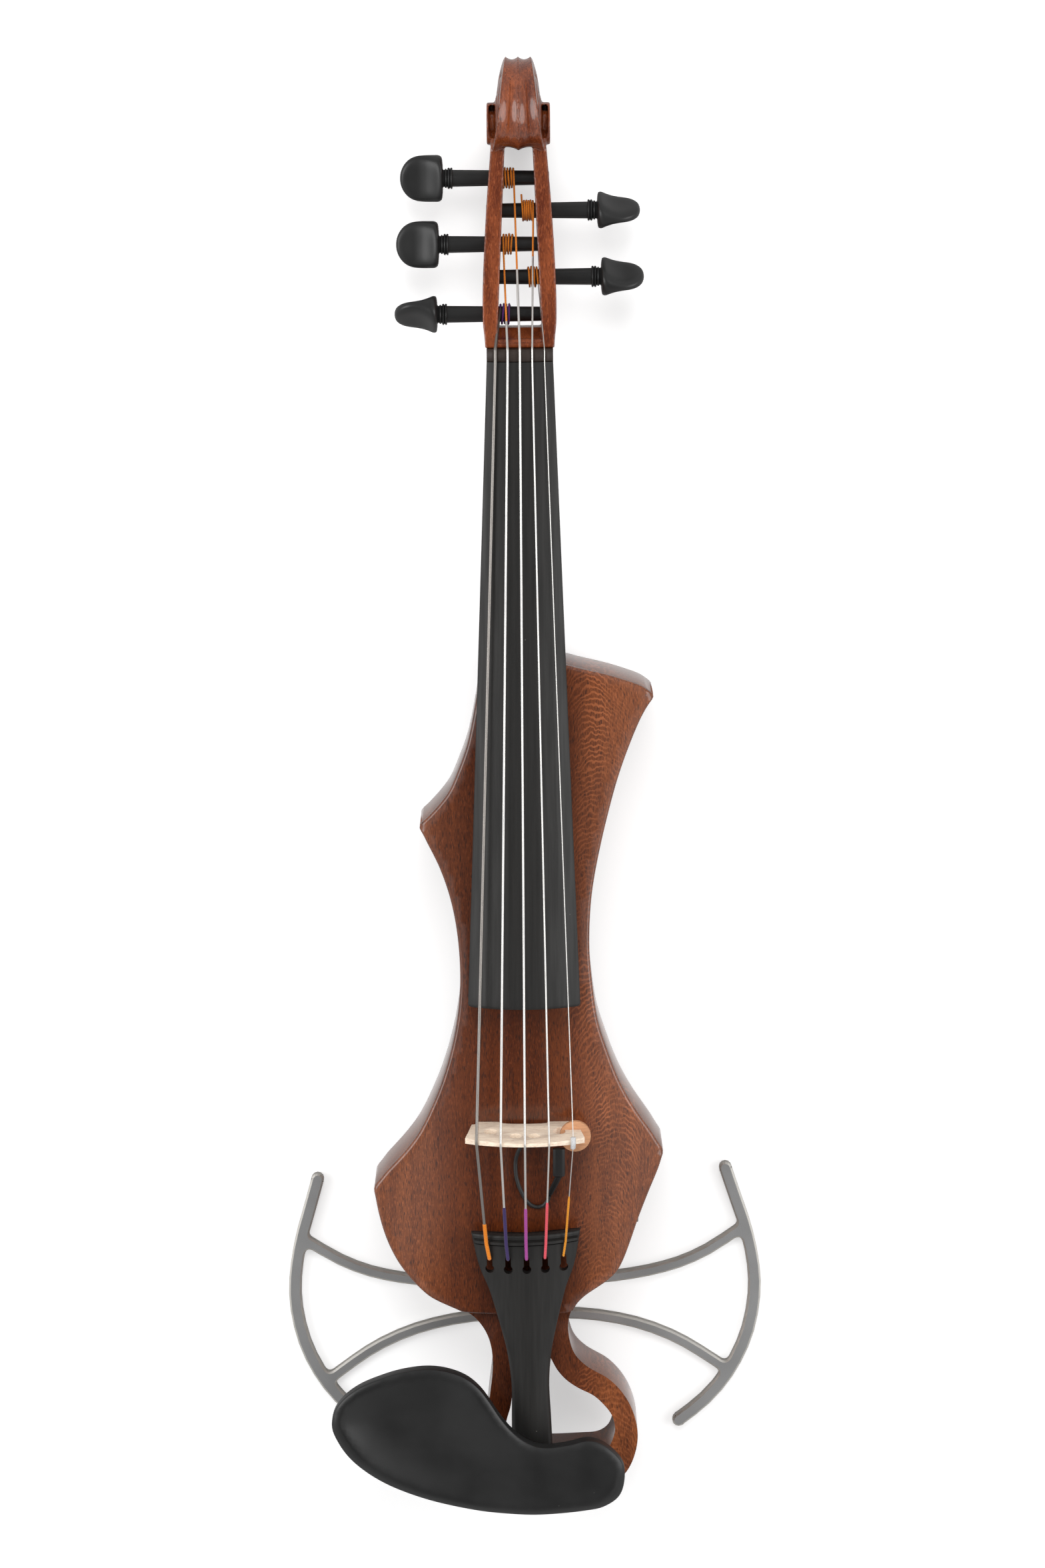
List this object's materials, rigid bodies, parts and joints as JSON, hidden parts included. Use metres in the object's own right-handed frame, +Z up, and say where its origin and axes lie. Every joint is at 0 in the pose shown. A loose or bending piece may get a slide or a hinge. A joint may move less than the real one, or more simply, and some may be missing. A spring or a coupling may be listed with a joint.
{
  "type": "electric violin",
  "caption": "Electric violin with a lyre-shaped hollow body, scroll, pegs, bridge pickup with its cable, tailpiece, chinrest and a metal shoulder frame.",
  "frame": {"origin": "middle of the underside of the metal shoulder frame, between its two screws, where the violin stands on a table", "axes": "+X towards the thin strings, +Y along the instrument from the chinrest to the scroll, +Z up out of the top plate towards the strings"},
  "size_m": [0.2079, 0.6236, 0.0862],
  "materials": {
    "stained_mahogany": "open-pored brown stain under satin lacquer",
    "polished_mahogany": "red-brown stain under polished lacquer",
    "spruce": "planed, unfinished",
    "ebony": "oiled and hand-rubbed",
    "rosewood": "oiled",
    "pale_maple": "knife-cut, unfinished, with flecks",
    "disc_wood": "sanded, unfinished",
    "black_plastic": "moulded, fine grain",
    "clear_vinyl": "extruded, milky",
    "cable_rubber": "extruded, satin",
    "anodised_aluminium": "grey anodised faces with bright milled edges",
    "steel": "turned",
    "nickel": "nickel plated, satin",
    "string_steel": "flat-wound wire, polished",
    "cork": "sanded sheet cork",
    "orange_silk": "wound silk thread",
    "violet_silk": "wound silk thread",
    "gut_nylon": "extruded"
  },
  "bodies": {
    "violin": {"body_shell": "stained_mahogany", "top_plate": "stained_mahogany", "bass_bar": "spruce", "sound_post": "spruce", "neck_and_scroll": "polished_mahogany", "fingerboard": "ebony", "nut": "rosewood", "shoulder_frame": "anodised_aluminium", "frame_spacer_bass": "anodised_aluminium", "frame_spacer_treble": "anodised_aluminium", "frame_screw_bass": "steel", "frame_screw_treble": "steel", "string_c": "string_steel", "string_g": "string_steel", "string_d": "string_steel", "string_a": "string_steel", "string_e": "string_steel", "e_string_sleeve": "clear_vinyl", "bridge": "pale_maple", "pickup_disc": "disc_wood", "pickup_connector": "black_plastic", "pickup_cable": "cable_rubber", "cable_grommet": "black_plastic", "inner_lead": "cable_rubber", "output_jack": "nickel", "jack_nut": "nickel", "tailpiece": "ebony", "tail_gut": "gut_nylon", "saddle": "ebony", "end_button": "ebony", "chinrest": "ebony", "chinrest_cork_bass": "cork", "chinrest_cork_treble": "cork", "clamp_strip": "nickel"},
    "peg_c": {"peg_c": "ebony", "winding_c": "violet_silk"},
    "peg_g": {"peg_g": "ebony", "winding_g": "orange_silk"},
    "peg_d": {"peg_d": "ebony", "winding_d": "orange_silk"},
    "peg_a": {"peg_a": "ebony", "winding_a": "orange_silk"},
    "peg_e": {"peg_e": "ebony", "winding_e": "orange_silk"},
    "clamp_barrel_bass": {"clamp_barrel_bass": "nickel"},
    "clamp_barrel_treble": {"clamp_barrel_treble": "nickel"},
    "clamp_foot": {"clamp_foot": "nickel", "clamp_foot_cork": "cork"}
  },
  "joints": [
    {"name": "peg_c_turn", "type": "hinge", "parent": "violin", "child": "peg_c", "pos_m": [0.0004, 0.4354, 0.03162], "axis": [1, 0, 0], "continuous": true},
    {"name": "peg_g_turn", "type": "hinge", "parent": "violin", "child": "peg_g", "pos_m": [0.0004, 0.4641, 0.02588], "axis": [1, 0, 0], "continuous": true},
    {"name": "peg_d_turn", "type": "hinge", "parent": "violin", "child": "peg_d", "pos_m": [0.0004, 0.4913, 0.02044], "axis": [1, 0, 0], "continuous": true},
    {"name": "peg_a_turn", "type": "hinge", "parent": "violin", "child": "peg_a", "pos_m": [0.0004, 0.4779, 0.02312], "axis": [1, 0, 0], "continuous": true},
    {"name": "peg_e_turn", "type": "hinge", "parent": "violin", "child": "peg_e", "pos_m": [0.0004, 0.4506, 0.02858], "axis": [1, 0, 0], "continuous": true},
    {"name": "barrel_bass_turn", "type": "hinge", "parent": "violin", "child": "clamp_barrel_bass", "pos_m": [-0.0134, -0.076, 0.037], "axis": [0, 0, 1], "range_deg": [0, 900]},
    {"name": "barrel_treble_turn", "type": "hinge", "parent": "violin", "child": "clamp_barrel_treble", "pos_m": [0.0186, -0.076, 0.037], "axis": [0, 0, 1], "range_deg": [0, 900]},
    {"name": "clamp_foot_slide", "type": "slide", "parent": "violin", "child": "clamp_foot", "axis": [0, 0, -1], "range_m": [0, 0.0035]}
  ],
  "couplings": [
    {"joint": "barrel_bass_turn", "follows": "clamp_foot_slide", "rad_per_m": 4487.9},
    {"joint": "barrel_treble_turn", "follows": "clamp_foot_slide", "rad_per_m": 4487.9}
  ]
}
